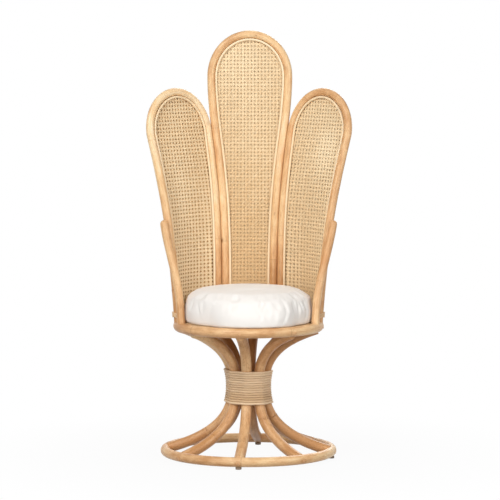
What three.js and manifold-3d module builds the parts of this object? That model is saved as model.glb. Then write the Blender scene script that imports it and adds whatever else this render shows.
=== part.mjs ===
// Rattan peacock chair: three cane petals, a round seat with a loose cushion and a bundled pedestal.
// Millimetres, +Z up, floor at zero. The sitter looks along -Y.
import * as THREE from "three";
import { mergeVertices } from "three/addons/utils/BufferGeometryUtils.js";
import Module from "manifold-3d";

const wasm = await Module();
wasm.setup();

const DEGREE = Math.PI / 180;

// Driving dimensions: fits
const GAP = 0.3; // left between two pieces that touch
const STRAND_GAP = 0.5; // left between neighbouring turns of a winding
const PEG = 10; // diameter of the wooden pegs
const PEG_DEPTH = 30; // how far a peg goes into a pole
const PEG_IN_RING = 10; // how far a foot peg goes into the seat ring

// Driving dimensions: pedestal
const BASE_RADIUS = 280; // centre line of the base ring
const BASE_POLE = 32; // pole diameter
const LEG_COUNT = 8;
const LEG_POLE = 35;
const LEG_SPACING = 4.8; // free space between neighbouring legs at the waist
const LEG_TURN = 6 * DEGREE; // the set of legs is turned clockwise, seen from above
const LEG_END_SHORT = 6; // a leg stops this far before the centre of a ring's pole
const BASE_FLARE = 16 * DEGREE; // slope of a leg where it meets the base ring
const SEAT_FLARE = 18.5 * DEGREE; // slope of a leg where it meets the seat ring
const BASE_REACH = 165; // length of the straight pull at the foot of a leg
const SEAT_REACH = 125; // length of the straight pull at the head of a leg
const SEAT_LEG_DROP = 7; // a leg meets the seat ring this far under its centre
const WAIST_HEIGHT = 241;
const WAIST_PULL = 105; // how far the waist's upright stretch reaches up and down
const BINDING_STRAND = 7.5;
const BINDING_TURNS = 14;
const BINDING_CLEAR = 0.4; // between the binding and the legs
const CORE_HEIGHT = 90;
const GLIDE = 20; // diameter
const GLIDE_HEIGHT = 8;
const GLIDE_CHAMFER = 1;
const GLIDE_STEM = 6;
const GLIDE_STEM_LENGTH = 8;
const GLIDE_COUNT = 4;

// Driving dimensions: seat
const SEAT_RADIUS = 236; // centre line of the seat ring
const SEAT_POLE = 33;
const SEAT_HEIGHT = 461; // top of the seat ring
const POLE_END = 3; // a pole on the seat ring ends this far above the ring's middle, at the least
const BOARD = 8; // thickness
const BOARD_SHOULDER = 25 * DEGREE; // where on the ring's inner side the board rests
const BOARD_LIP = 2; // how far the board reaches past that line
const CUSHION_CLEAR = 1.1; // between the cushion and the line of the foot bindings
const CUSHION_EDGE = 30; // width of the rounding at the lower edge
const CUSHION_ROUND = 18; // height of the rounding at the lower and the upper edge
const CUSHION_RIM = 84; // height of the side
const CUSHION_TOP_EDGE = 26; // width of the rounding at the upper edge, where the crown starts
const CUSHION_SHOULDER = 93; // height where the crown starts
const CUSHION_CROWN = 114; // height in the middle
const CUSHION_DRAW = 5; // how far the side is drawn in between its two edges

// Driving dimensions: back and arms
const PETAL_POLE = 27;
const PETAL_LEAN = 8 * DEGREE;
const PETAL_CLEAR = 0.8; // between the poles of neighbouring petals
const ARCH_HALF_WIDTH = 132.5; // centre line of the centre petal at its widest
const ARCH_RISE = 143;
const CENTRE_ARCH_HEIGHT = 1269; // where the centre arch springs
const CENTRE_FOOT_HALF_WIDTH = 83;
const CENTRE_FLARE = 1.8; // the larger, the higher up the centre petal widens
const SIDE_ARCH_HEIGHT = 1080;
const SIDE_ARCH_RISE = 139;
const SIDE_OUTER_FOOT = 93 * DEGREE; // place of the outer foot on the seat ring, from the rear
const SIDE_TOP_TURN = 42 * DEGREE; // how far the top of a side petal is turned inwards
const SIDE_TWIST = 1.25; // the larger, the higher up a side petal twists
const BEAD = 8; // diameter of the core that covers the edge of the webbing
const CANE = 2; // thickness of the webbing
const ARM_POLE = 27;
const ARM_HEIGHT = 797;
const ARM_FOOT = 109 * DEGREE; // place of the foot on the seat ring, from the rear
const ARM_SPLAY = 26 * DEGREE; // the tip lies in front of the petal's leg and this far outwards
const ARM_SPLAY_START = 0.2; // share of the arm's height below which it doesn't splay
const ARM_SWEEP = 2.2; // the larger, the lower down the arm closes in on the petal
const FOOT_STRAND = 4.5;
const FOOT_CLEAR = 0.9; // between the lashing and the pole
const FOOT_TURNS = 3;
const FOOT_TILT = 20 * DEGREE; // the lashing rises outwards

// Fineness
const WELD = 1e-3; // corners closer than this are one corner
const FOOT_STRETCH = 0.01; // share of a pole's height that gives the direction of its foot
const POLE_SIDES = 8;
const RING_STEPS = 36;
const LEG_STEPS = 8; // for each half of a pedestal leg
const PETAL_LEG_STEPS = 7;
const PETAL_ARCH_STEPS = 14;
const PETAL_STEPS = 2 * PETAL_LEG_STEPS + PETAL_ARCH_STEPS;
const BEAD_SIDES = 6;
const STRAND_SIDES = 5;
const PEG_SIDES = 6;
const ARM_STEPS = 10;
const STEPS_PER_LEG = 3; // of the waist binding, which makes 24 a turn
const FOOT_STEPS = 12; // for each turn of a foot binding
const CUSHION_STEPS = 32;
const CUSHION_CURVE_STEPS = 3; // for each curved stretch of its outline
const CANE_TOP = 0.6; // where the webbing stops between its last full row and the top of the arch

// Worked out
const baseZ = GLIDE_HEIGHT + BASE_POLE / 2;
const seatZ = SEAT_HEIGHT - SEAT_POLE / 2;
const waistRadius = (LEG_POLE + LEG_SPACING) / (2 * Math.sin(Math.PI / LEG_COUNT));
const petalPitch = PETAL_POLE + PETAL_CLEAR;
const footBindingRadius = PETAL_POLE / 2 + FOOT_CLEAR + FOOT_STRAND;
const cushionRadius = SEAT_RADIUS - footBindingRadius - CUSHION_CLEAR;
const armPitch = (PETAL_POLE + ARM_POLE) / 2 + PETAL_CLEAR;
const beadInset = PETAL_POLE / 2 + GAP + BEAD / 2;
const beadForward = CANE / 2 + 2 * GAP + BEAD / 2;
const caneInset = PETAL_POLE / 2 + GAP;
const caneStrip = BEAD + 2 * GAP; // width of the webbing's edge under the bead

const FINISH = {
  pole: { color: 0xc79a63, roughness: 0.45, metalness: 0 },
  ring: { color: 0xbd8f58, roughness: 0.45, metalness: 0 },
  cane: { color: 0xcfa973, roughness: 0.6, metalness: 0 },
  bead: { color: 0xe7d6b4, roughness: 0.55, metalness: 0 },
  binding: { color: 0xa98a58, roughness: 0.6, metalness: 0 },
  peg: { color: 0xb08350, roughness: 0.6, metalness: 0 },
  board: { color: 0xc8a878, roughness: 0.8, metalness: 0 },
  cushion: { color: 0xefece5, roughness: 0.9, metalness: 0 },
  glide: { color: 0x6b5a45, roughness: 0.5, metalness: 0 },
};

const chair = new THREE.Group();
chair.name = "peacock_chair";

// Curves and solids

// A curve whose steps are even in its own parameter, so that neighbouring pieces share their steps.
class SteppedCurve extends THREE.Curve {
  constructor(place) {
    super();
    this.place = place;
  }
  getPoint(t, target = new THREE.Vector3()) {
    return target.copy(this.place(t));
  }
  getUtoTmapping(u) {
    return u;
  }
}

function blend(from, to, share) {
  return from + (to - from) * share;
}

function ringPoint(radius, angle, z) {
  return new THREE.Vector3(radius * Math.sin(angle), radius * Math.cos(angle), z);
}

function solid(geometry) {
  const bare = geometry.clone();
  bare.deleteAttribute("normal");
  bare.deleteAttribute("uv");
  const merged = mergeVertices(bare, WELD);
  const vertProperties = merged.attributes.position.array;
  const triVerts = new Uint32Array(merged.index.array);
  return new wasm.Manifold(new wasm.Mesh({ numProp: 3, vertProperties, triVerts }));
}

function addPiece(name, body, finish) {
  const made = body.getMesh();
  const geometry = new THREE.BufferGeometry();
  geometry.setAttribute("position", new THREE.BufferAttribute(made.vertProperties, 3));
  geometry.setIndex(new THREE.BufferAttribute(made.triVerts, 1));
  geometry.computeVertexNormals();
  const mesh = new THREE.Mesh(geometry, new THREE.MeshStandardMaterial(FINISH[finish]));
  mesh.name = name;
  chair.add(mesh);
}

function polygon(radius, sides) {
  const corners = [];
  for (let i = 0; i < sides; i += 1) {
    const angle = (2 * Math.PI * i) / sides;
    corners.push(new THREE.Vector2(radius * Math.cos(angle), radius * Math.sin(angle)));
  }
  return new THREE.Shape(corners);
}

function tube(place, steps, radius, sides) {
  const extrudePath = new SteppedCurve(place);
  const options = { steps, bevelEnabled: false, extrudePath };
  return solid(new THREE.ExtrudeGeometry(polygon(radius, sides), options));
}

function rod(from, to, radius, sides) {
  const place = (t) => new THREE.Vector3().lerpVectors(from, to, t);
  return tube(place, 1, radius, sides);
}

function hoop(radius, poleRadius, z) {
  return solid(new THREE.TorusGeometry(radius, poleRadius, POLE_SIDES, RING_STEPS).translate(0, 0, z));
}

const baseHoop = (grow) => hoop(BASE_RADIUS, BASE_POLE / 2 + grow, baseZ);
const seatHoop = (grow) => hoop(SEAT_RADIUS, SEAT_POLE / 2 + grow, seatZ);

// A peg along a direction: its solid and the bore that it needs.
function pegAndBore(mouth, direction, length, overrun) {
  const tail = mouth.clone().addScaledVector(direction, -length);
  const boreMouth = mouth.clone().addScaledVector(direction, overrun);
  const boreTail = tail.clone().addScaledVector(direction, -2 * GAP);
  return {
    peg: rod(tail, mouth, PEG / 2, PEG_SIDES),
    bore: rod(boreTail, boreMouth, PEG / 2 + GAP, PEG_SIDES),
  };
}

// Pedestal legs

const baseAim = new THREE.Vector2(Math.cos(BASE_FLARE), -Math.sin(BASE_FLARE));
const seatAim = new THREE.Vector2(Math.cos(SEAT_FLARE), Math.sin(SEAT_FLARE));
const baseTarget = new THREE.Vector2(BASE_RADIUS, baseZ);
const seatTarget = new THREE.Vector2(SEAT_RADIUS, seatZ - SEAT_LEG_DROP);

// Half of a leg's profile (radius, height), from the waist to a ring.
function halfLeg(target, aim, reach, pull) {
  const end = target.clone().addScaledVector(aim, -LEG_END_SHORT);
  const waist = new THREE.Vector2(waistRadius, WAIST_HEIGHT);
  const upright = new THREE.Vector2(waistRadius, WAIST_HEIGHT + pull);
  const handle = end.clone().addScaledVector(aim, -reach);
  return new THREE.CubicBezierCurve(waist, upright, handle, end);
}

const lowerLeg = halfLeg(baseTarget, baseAim, BASE_REACH, -WAIST_PULL);
const upperLeg = halfLeg(seatTarget, seatAim, SEAT_REACH, WAIST_PULL);

function legAngle(index) {
  return LEG_TURN + (2 * Math.PI * index) / LEG_COUNT;
}

function legSolid(index, grow) {
  const place = (t) => {
    const flat = t < 0.5 ? lowerLeg.getPoint(1 - 2 * t) : upperLeg.getPoint(2 * t - 1);
    return new THREE.Vector3(0, flat.x, flat.y);
  };
  const upright = tube(place, 2 * LEG_STEPS, LEG_POLE / 2 + grow, POLE_SIDES);
  return upright.rotate([0, 0, -legAngle(index) / DEGREE]);
}

// Radius of a leg's centre line, moved outwards by a distance, at a height. A leg is straight between its
// steps and opens away from the waist, so the outermost of its straight stretches counts.
function legLine(z, outwards) {
  let furthest = 0;
  for (const half of [lowerLeg, upperLeg]) {
    const stops = half.getPoints(LEG_STEPS);
    for (let i = 0; i < LEG_STEPS; i += 1) {
      const stretch = stops[i + 1].clone().sub(stops[i]);
      const lift = (outwards * stretch.length()) / Math.abs(stretch.y);
      const radius = stops[i].x + (stretch.x * (z - stops[i].y)) / stretch.y + lift;
      furthest = Math.max(furthest, radius);
    }
  }
  return furthest;
}

// How far along its aim a leg's axis leaves the pole of a ring that it meets below centre.
function wayOut(poleRadius, drop, flare) {
  const climb = drop * Math.sin(flare);
  return climb + Math.sqrt(climb * climb + poleRadius * poleRadius - drop * drop);
}

function legPeg(index, target, aim, exit) {
  const flat = target.clone().addScaledVector(aim, exit);
  const mouth = ringPoint(flat.x, legAngle(index), flat.y);
  const direction = ringPoint(aim.x, legAngle(index), aim.y);
  return pegAndBore(mouth, direction, exit + LEG_END_SHORT + PEG_DEPTH, PEG);
}

// Petals

const centreFoot = Math.asin(CENTRE_FOOT_HALF_WIDTH / SEAT_RADIUS);
const stepAngle = Math.asin(petalPitch / 2 / SEAT_RADIUS);
const sideInnerFoot = centreFoot + 2 * stepAngle;
const sideHalfSpan = (SIDE_OUTER_FOOT - sideInnerFoot) / 2;

function legShare(z, archHeight) {
  return THREE.MathUtils.clamp((z - seatZ) / (archHeight - seatZ), 0, 1);
}

function centreHalfWidth(z) {
  const share = legShare(z, CENTRE_ARCH_HEIGHT) ** CENTRE_FLARE;
  return blend(CENTRE_FOOT_HALF_WIDTH, ARCH_HALF_WIDTH, (1 - Math.cos(Math.PI * share)) / 2);
}

function centreDepth(z) {
  return SEAT_RADIUS * Math.cos(centreFoot) + (z - seatZ) * Math.tan(PETAL_LEAN);
}

function sideTurn(z) {
  const share = legShare(z, SIDE_ARCH_HEIGHT) ** SIDE_TWIST;
  return blend(sideInnerFoot + sideHalfSpan, SIDE_TOP_TURN, share);
}

const sideHalfWidth = SEAT_RADIUS * Math.sin(sideHalfSpan);

// The side petal's inner leg stands against the centre petal's leg all the way up.
function sideMiddle(z) {
  const lay = blend(centreFoot + stepAngle, SIDE_TOP_TURN / 2, legShare(z, SIDE_ARCH_HEIGHT));
  const innerX = centreHalfWidth(z) + petalPitch * Math.cos(lay);
  const innerY = centreDepth(z) - petalPitch * Math.sin(lay);
  const x = innerX + sideHalfWidth * Math.cos(sideTurn(z));
  const y = innerY - sideHalfWidth * Math.sin(sideTurn(z));
  return new THREE.Vector2(x, y);
}

const PETALS = [
  {
    name: "centre",
    mirror: 1,
    archHeight: CENTRE_ARCH_HEIGHT,
    archRise: ARCH_RISE,
    halfSpan: centreFoot,
    halfWidth: centreHalfWidth,
    turn: () => 0,
    middle: (z) => new THREE.Vector2(0, centreDepth(z)),
  },
];
for (const [name, mirror] of [["left", -1], ["right", 1]]) {
  PETALS.push({
    name,
    mirror,
    archHeight: SIDE_ARCH_HEIGHT,
    archRise: SIDE_ARCH_RISE,
    halfSpan: sideHalfSpan,
    halfWidth: () => sideHalfWidth,
    turn: sideTurn,
    middle: sideMiddle,
  });
}

// A point of a petal: across it, at a height, and forward of its middle surface. At the seat the
// surface follows the ring, and towards the arch it becomes flat.
function petalPoint(petal, across, z, forward) {
  const turn = petal.turn(z);
  const middle = petal.middle(z);
  const share = across / petal.halfWidth(z);
  const sag = SEAT_RADIUS * (1 - Math.cos(petal.halfSpan)) * (1 - legShare(z, petal.archHeight));
  const bow = sag * (1 - share * share);
  const slope = (2 * sag * share) / petal.halfWidth(z);
  const lift = forward * Math.hypot(1, slope) - bow;
  const x = middle.x + across * Math.cos(turn) - lift * Math.sin(turn);
  const y = middle.y - across * Math.sin(turn) - lift * Math.cos(turn);
  return new THREE.Vector3(petal.mirror * x, y, z);
}

// Across and height on a petal's outline, which runs up one leg, over the arch and down the other.
function petalOutline(petal, t, inset) {
  const step = t * PETAL_STEPS;
  const archStep = step - PETAL_LEG_STEPS;
  if (archStep > 0 && archStep < PETAL_ARCH_STEPS) {
    const angle = (Math.PI * archStep) / PETAL_ARCH_STEPS;
    const halfWidth = petal.halfWidth(petal.archHeight) - inset;
    const z = petal.archHeight + (petal.archRise - inset) * Math.sin(angle);
    return { across: -halfWidth * Math.cos(angle), z };
  }
  const climbed = archStep <= 0 ? step : PETAL_STEPS - step;
  const z = blend(seatZ, petal.archHeight, climbed / PETAL_LEG_STEPS);
  const halfWidth = petal.halfWidth(z) - inset;
  return { across: archStep <= 0 ? -halfWidth : halfWidth, z };
}

function petalTube(petal, inset, forward, radius, sides) {
  const place = (t) => {
    const { across, z } = petalOutline(petal, t, inset);
    return petalPoint(petal, across, z, forward);
  };
  return tube(place, PETAL_STEPS, radius, sides);
}

// The webbing is a thin closed sheet of rows that share their heights with the frame's steps.
function caneSheet(petal) {
  const lastStep = PETAL_LEG_STEPS + PETAL_ARCH_STEPS / 2;
  const rows = [];
  const addRow = (edge, z) => {
    const inner = Math.max(edge - caneStrip, edge / 2);
    rows.push({ z, stations: [-edge, -inner, -inner / 3, inner / 3, inner, edge] });
  };
  for (let step = 0; step < lastStep; step += 1) {
    const { across, z } = petalOutline(petal, step / PETAL_STEPS, caneInset);
    addRow(-across, z);
  }
  const shoulder = rows[lastStep - 1];
  const top = petalOutline(petal, lastStep / PETAL_STEPS, caneInset);
  addRow(blend(shoulder.stations.at(-1), 0, CANE_TOP), blend(shoulder.z, top.z, CANE_TOP));
  const columns = rows[0].stations.length;
  const positions = [];
  for (const forward of [CANE / 2, -CANE / 2]) {
    for (const row of rows) {
      for (const across of row.stations) {
        positions.push(...petalPoint(petal, across, row.z, forward).toArray());
      }
    }
  }
  const back = rows.length * columns;
  const index = [];
  const quad = (a, b, c, d) => {
    const faces = petal.mirror > 0 ? [a, b, c, a, c, d] : [a, c, b, a, d, c];
    index.push(...faces);
  };
  for (let r = 0; r + 1 < rows.length; r += 1) {
    for (let c = 0; c + 1 < columns; c += 1) {
      const corner = r * columns + c;
      const above = corner + columns;
      quad(corner, corner + 1, above + 1, above);
      quad(back + corner, back + above, back + above + 1, back + corner + 1);
    }
    const first = r * columns;
    const last = first + columns - 1;
    quad(first, first + columns, back + first + columns, back + first);
    quad(last, back + last, back + last + columns, last + columns);
  }
  const topRow = (rows.length - 1) * columns;
  for (let c = 0; c + 1 < columns; c += 1) {
    quad(c, back + c, back + c + 1, c + 1);
    quad(topRow + c, topRow + c + 1, back + topRow + c + 1, back + topRow + c);
  }
  const geometry = new THREE.BufferGeometry();
  geometry.setAttribute("position", new THREE.Float32BufferAttribute(positions, 3));
  geometry.setIndex(index);
  return solid(geometry);
}

// A peg under a pole that stands on the seat ring.
function footPeg(place) {
  const foot = place(0);
  const direction = place(FOOT_STRETCH).sub(foot).normalize();
  const mouth = foot.clone().addScaledVector(direction, SEAT_POLE / 2 + PEG_DEPTH);
  return pegAndBore(mouth, direction, PEG_DEPTH + PEG_IN_RING, 2 * GAP);
}

function petalLeg(petal, end) {
  return (t) => {
    const z = blend(seatZ, petal.archHeight, t);
    return petalPoint(petal, end * petal.halfWidth(z), z, 0);
  };
}

// Arms

// An arm starts on the seat ring, closes in on the petal's outer leg and then splays outwards.
function armPlace(petal) {
  const foot = ringPoint(SEAT_RADIUS, ARM_FOOT, 0).sub(ringPoint(SEAT_RADIUS, SIDE_OUTER_FOOT, 0));
  const tip = new THREE.Vector3(armPitch * Math.sin(ARM_SPLAY), -armPitch * Math.cos(ARM_SPLAY), 0);
  return (t) => {
    const z = blend(seatZ, ARM_HEIGHT - ARM_POLE / 2, t);
    const outwards = blend(foot.x, tip.x, THREE.MathUtils.smoothstep(t, ARM_SPLAY_START, 1));
    const forward = blend(foot.y, tip.y, 1 - (1 - t) ** ARM_SWEEP);
    const offset = new THREE.Vector3(petal.mirror * outwards, forward, 0);
    return petalPoint(petal, petal.halfWidth(z), z, 0).add(offset);
  };
}

function armSolid(petal) {
  const place = armPlace(petal);
  const pole = tube(place, ARM_STEPS, ARM_POLE / 2, POLE_SIDES);
  const ball = new THREE.SphereGeometry(ARM_POLE / 2, POLE_SIDES, POLE_SIDES);
  ball.rotateX(Math.PI / 2);
  ball.translate(...place(1).toArray());
  return pole.add(solid(ball));
}

// Windings

function leastGap(points, strand, stepsPerTurn) {
  let least = Infinity;
  for (let i = 0; i < points.length; i += 1) {
    for (let j = i + Math.round(stepsPerTurn / 2); j < points.length; j += 1) {
      least = Math.min(least, points[i].distanceTo(points[j]) - strand);
    }
  }
  return least;
}

// The line that a tube with this many steps follows: straight from one step to the next.
function builtLine(place, steps) {
  return (t) => {
    const before = THREE.MathUtils.clamp(Math.floor(t * steps), 0, steps - 1);
    return place(before / steps).lerp(place((before + 1) / steps), t * steps - before);
  };
}

function winding(name, points, strand, stepsPerTurn) {
  const last = points.length - 1;
  const place = builtLine((t) => points[Math.round(t * last)].clone(), last);
  console.log(`${name}: least gap to itself ${leastGap(points, strand, stepsPerTurn).toFixed(2)} mm`);
  return tube(place, last, strand / 2, STRAND_SIDES);
}

// The waist binding lies on the legs and runs straight from one leg to the next.
function waistBindingPoints() {
  const stepsPerTurn = STEPS_PER_LEG * LEG_COUNT;
  const pitch = BINDING_STRAND + STRAND_GAP;
  const half = (BINDING_TURNS * pitch) / 2;
  const points = [];
  for (let step = 0; step < BINDING_TURNS * stepsPerTurn; step += 1) {
    const z = WAIST_HEIGHT - half + (pitch * step) / stepsPerTurn;
    const leg = legAngle(Math.floor(step / STEPS_PER_LEG));
    const swing = ((step % STEPS_PER_LEG) - 1) * (Math.PI / LEG_COUNT);
    const radius = legLine(z, 0);
    const lift = legLine(z, LEG_POLE / 2 + BINDING_CLEAR + BINDING_STRAND / 2) - radius;
    points.push(ringPoint(radius, leg, z).add(ringPoint(lift, leg + swing, 0)));
  }
  const straightEnd = (from, to) => from.clone().lerp(to, 1 + BINDING_STRAND / from.distanceTo(to));
  points.unshift(straightEnd(points[1], points[0]));
  points.push(straightEnd(points[points.length - 2], points[points.length - 1]));
  return points;
}

// The lashing at the outer foot of a side petal, tilted so that it rises outwards.
function footBindingPoints(petal) {
  const pitch = FOOT_STRAND + STRAND_GAP;
  const radius = PETAL_POLE / 2 + FOOT_CLEAR + FOOT_STRAND / 2;
  const bottom = SEAT_HEIGHT + radius * Math.tan(FOOT_TILT) + FOOT_STRAND / 2 + GAP;
  const pole = builtLine(petalLeg(petal, 1), PETAL_LEG_STEPS);
  const points = [];
  for (let step = 0; step <= FOOT_TURNS * FOOT_STEPS; step += 1) {
    const angle = (2 * Math.PI * step) / FOOT_STEPS;
    const outwards = radius * Math.cos(angle);
    const z = bottom + (pitch * step) / FOOT_STEPS + outwards * Math.tan(FOOT_TILT);
    const axis = pole((z - seatZ) / (petal.archHeight - seatZ));
    points.push(axis.add(new THREE.Vector3(petal.mirror * outwards, radius * Math.sin(angle), 0)));
  }
  return points;
}

// The room that a foot binding takes round its pole.
function footBindingRoom(petal) {
  const radius = footBindingRadius;
  const height = FOOT_TURNS * (FOOT_STRAND + STRAND_GAP) + 2 * radius * Math.tan(FOOT_TILT) + 2 * FOOT_STRAND;
  const from = petalPoint(petal, petal.halfWidth(seatZ), seatZ, 0);
  const topZ = SEAT_HEIGHT + height;
  const to = petalPoint(petal, petal.halfWidth(topZ), topZ, 0);
  return rod(from, to, radius + 2 * GAP, 2 * POLE_SIDES);
}

// Cushion and glides

function lathe(outline, steps) {
  return solid(new THREE.LatheGeometry(outline, steps).rotateX(Math.PI / 2));
}

function cushionSolid(bottom) {
  const height = (z) => bottom + z;
  const path = new THREE.Path();
  path.moveTo(0, height(0));
  path.lineTo(cushionRadius - CUSHION_EDGE, height(0));
  path.quadraticCurveTo(cushionRadius, height(0), cushionRadius, height(CUSHION_ROUND));
  const waist = cushionRadius - CUSHION_DRAW;
  path.quadraticCurveTo(waist, height(CUSHION_RIM / 2), cushionRadius, height(CUSHION_RIM - CUSHION_ROUND));
  const top = cushionRadius - CUSHION_TOP_EDGE;
  path.quadraticCurveTo(cushionRadius, height(CUSHION_RIM), top, height(CUSHION_SHOULDER));
  path.quadraticCurveTo(top / 2, height(CUSHION_CROWN), 0, height(CUSHION_CROWN));
  return lathe(path.getPoints(CUSHION_CURVE_STEPS), CUSHION_STEPS);
}

function glideSolid(index, grow) {
  const disc = GLIDE / 2;
  const stem = GLIDE_STEM / 2 + grow;
  const discTop = GLIDE_HEIGHT - GAP;
  const stemTop = GLIDE_HEIGHT + GLIDE_STEM_LENGTH + 2 * grow;
  const outline = [
    [0, 0],
    [disc - GLIDE_CHAMFER, 0],
    [disc, GLIDE_CHAMFER],
    [disc, discTop],
    [stem, discTop],
    [stem, stemTop],
    [0, stemTop],
  ].map(([r, z]) => new THREE.Vector2(r, z));
  const angle = legAngle((index * LEG_COUNT) / GLIDE_COUNT);
  return lathe(outline, POLE_SIDES + 2).translate(ringPoint(BASE_RADIUS, angle, 0).toArray());
}

// Assembly: pedestal

let baseRing = baseHoop(0);
let seatRing = seatHoop(0);
const legCutters = [];
for (let index = 0; index < LEG_COUNT; index += 1) {
  const basePeg = legPeg(index, baseTarget, baseAim, BASE_POLE / 2);
  const seatPeg = legPeg(index, seatTarget, seatAim, wayOut(SEAT_POLE / 2, SEAT_LEG_DROP, SEAT_FLARE));
  const leg = legSolid(index, 0).subtract(baseHoop(GAP)).subtract(seatHoop(GAP));
  baseRing = baseRing.subtract(basePeg.bore);
  seatRing = seatRing.subtract(seatPeg.bore);
  legCutters.push(legSolid(index, GAP));
  addPiece(`leg_${index + 1}`, leg.subtract(basePeg.bore).subtract(seatPeg.bore), "pole");
  addPiece(`base_peg_${index + 1}`, basePeg.peg, "peg");
  addPiece(`seat_peg_${index + 1}`, seatPeg.peg, "peg");
}
for (let index = 0; index < GLIDE_COUNT; index += 1) {
  baseRing = baseRing.subtract(glideSolid(index, GAP));
  addPiece(`glide_${index + 1}`, glideSolid(index, 0), "glide");
}
addPiece("base_ring", baseRing, "ring");

const coreRadius = waistRadius - LEG_POLE / 2 - GAP;
const coreShape = new THREE.CylinderGeometry(coreRadius, coreRadius, CORE_HEIGHT, 2 * LEG_COUNT);
const core = solid(coreShape.rotateX(Math.PI / 2).rotateZ(-LEG_TURN).translate(0, 0, WAIST_HEIGHT));
addPiece("waist_core", core, "peg");

const waistSteps = STEPS_PER_LEG * LEG_COUNT;
const waistBinding = winding("waist_binding", waistBindingPoints(), BINDING_STRAND, waistSteps);
addPiece("waist_binding", waistBinding, "binding");

// Assembly: petals and arms

const ringCutter = seatHoop(GAP);
const underRing = SEAT_POLE + POLE_END;
const plateRadius = SEAT_RADIUS + SEAT_POLE;
const plateShape = new THREE.CylinderGeometry(plateRadius, plateRadius, underRing, RING_STEPS);
const plate = solid(plateShape.rotateX(Math.PI / 2).translate(0, 0, seatZ + POLE_END - underRing / 2));
const footCutter = ringCutter.add(plate);
const boardBottom = seatZ + (SEAT_POLE / 2) * Math.sin(BOARD_SHOULDER);
const boardRadius = SEAT_RADIUS - (SEAT_POLE / 2) * Math.cos(BOARD_SHOULDER) + BOARD_LIP;
const boardShape = new THREE.CylinderGeometry(boardRadius, boardRadius, BOARD, RING_STEPS);
let board = solid(boardShape.rotateX(Math.PI / 2).translate(0, 0, boardBottom + BOARD / 2));
board = board.subtract(ringCutter);

for (const petal of PETALS) {
  const isSide = petal.name !== "centre";
  let frame = petalTube(petal, 0, 0, PETAL_POLE / 2, POLE_SIDES).subtract(footCutter);
  const pegEnds = isSide ? [-1] : [-1, 1];
  for (const end of pegEnds) {
    const { peg, bore } = footPeg(petalLeg(petal, end));
    frame = frame.subtract(bore);
    seatRing = seatRing.subtract(bore);
    const place = isSide ? "inner" : end < 0 ? "left" : "right";
    addPiece(`${petal.name}_petal_${place}_foot_peg`, peg, "peg");
  }
  addPiece(`${petal.name}_petal_frame`, frame, "pole");

  const edges = {
    cane: caneSheet(petal),
    front_bead: petalTube(petal, beadInset, beadForward, BEAD / 2, BEAD_SIDES),
    back_bead: petalTube(petal, beadInset, -beadForward, BEAD / 2, BEAD_SIDES),
  };
  const frameRoom = petalTube(petal, 0, 0, PETAL_POLE / 2 + GAP / 2, POLE_SIDES);
  for (const [piece, body] of Object.entries(edges)) {
    const fitted = body.subtract(footCutter).subtract(frameRoom);
    const trimmed = isSide ? fitted.subtract(footBindingRoom(petal)) : fitted;
    addPiece(`${petal.name}_petal_${piece}`, trimmed, piece === "cane" ? "cane" : "bead");
  }
  board = board.subtract(petalTube(petal, 0, 0, PETAL_POLE / 2 + GAP, POLE_SIDES));
  if (!isSide) continue;

  const { peg, bore } = footPeg(armPlace(petal));
  seatRing = seatRing.subtract(bore);
  const arm = armSolid(petal).subtract(footCutter);
  board = board.subtract(tube(armPlace(petal), ARM_STEPS, ARM_POLE / 2 + GAP, POLE_SIDES));
  board = board.subtract(footBindingRoom(petal));
  addPiece(`${petal.name}_arm`, arm.subtract(bore), "pole");
  addPiece(`${petal.name}_arm_foot_peg`, peg, "peg");
  const bindingName = `${petal.name}_foot_binding`;
  const binding = winding(bindingName, footBindingPoints(petal), FOOT_STRAND, FOOT_STEPS);
  addPiece(bindingName, binding, "binding");
}
addPiece("seat_ring", seatRing, "ring");

// Assembly: seat

for (const cutter of legCutters) {
  board = board.subtract(cutter);
}
addPiece("seat_board", board, "board");
addPiece("seat_cushion", cushionSolid(boardBottom + BOARD + GAP), "cushion");

// The part's own zero lies on the floor under the middle of the whole chair.
const middle = new THREE.Box3().setFromObject(chair).getCenter(new THREE.Vector3());
for (const piece of chair.children) {
  piece.position.set(-middle.x, -middle.y, 0);
}

export default chair;
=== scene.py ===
import zlib
from math import asin, cos, pi, radians, sin, sqrt, tan

import bpy
import numpy as np
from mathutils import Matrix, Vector


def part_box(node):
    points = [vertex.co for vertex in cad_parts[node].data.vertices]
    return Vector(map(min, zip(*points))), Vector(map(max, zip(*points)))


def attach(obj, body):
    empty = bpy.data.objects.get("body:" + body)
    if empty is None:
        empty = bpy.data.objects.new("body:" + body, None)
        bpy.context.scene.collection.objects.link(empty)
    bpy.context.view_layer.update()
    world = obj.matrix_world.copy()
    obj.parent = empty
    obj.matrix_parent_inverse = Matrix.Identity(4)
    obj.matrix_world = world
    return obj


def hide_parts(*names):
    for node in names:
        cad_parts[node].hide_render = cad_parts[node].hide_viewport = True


# Rattan peacock chair: three cane petals, a round seat with a loose cushion and a bundled pedestal.
# Metres, +Z up, floor at zero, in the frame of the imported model. The sitter looks along -Y.

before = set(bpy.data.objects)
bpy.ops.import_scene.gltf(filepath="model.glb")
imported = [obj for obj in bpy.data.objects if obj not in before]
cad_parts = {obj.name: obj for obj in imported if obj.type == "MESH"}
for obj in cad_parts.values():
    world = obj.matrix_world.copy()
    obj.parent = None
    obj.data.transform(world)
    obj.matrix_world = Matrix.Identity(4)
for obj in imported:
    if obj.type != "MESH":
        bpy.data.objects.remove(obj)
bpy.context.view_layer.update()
scene = bpy.context.scene

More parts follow.
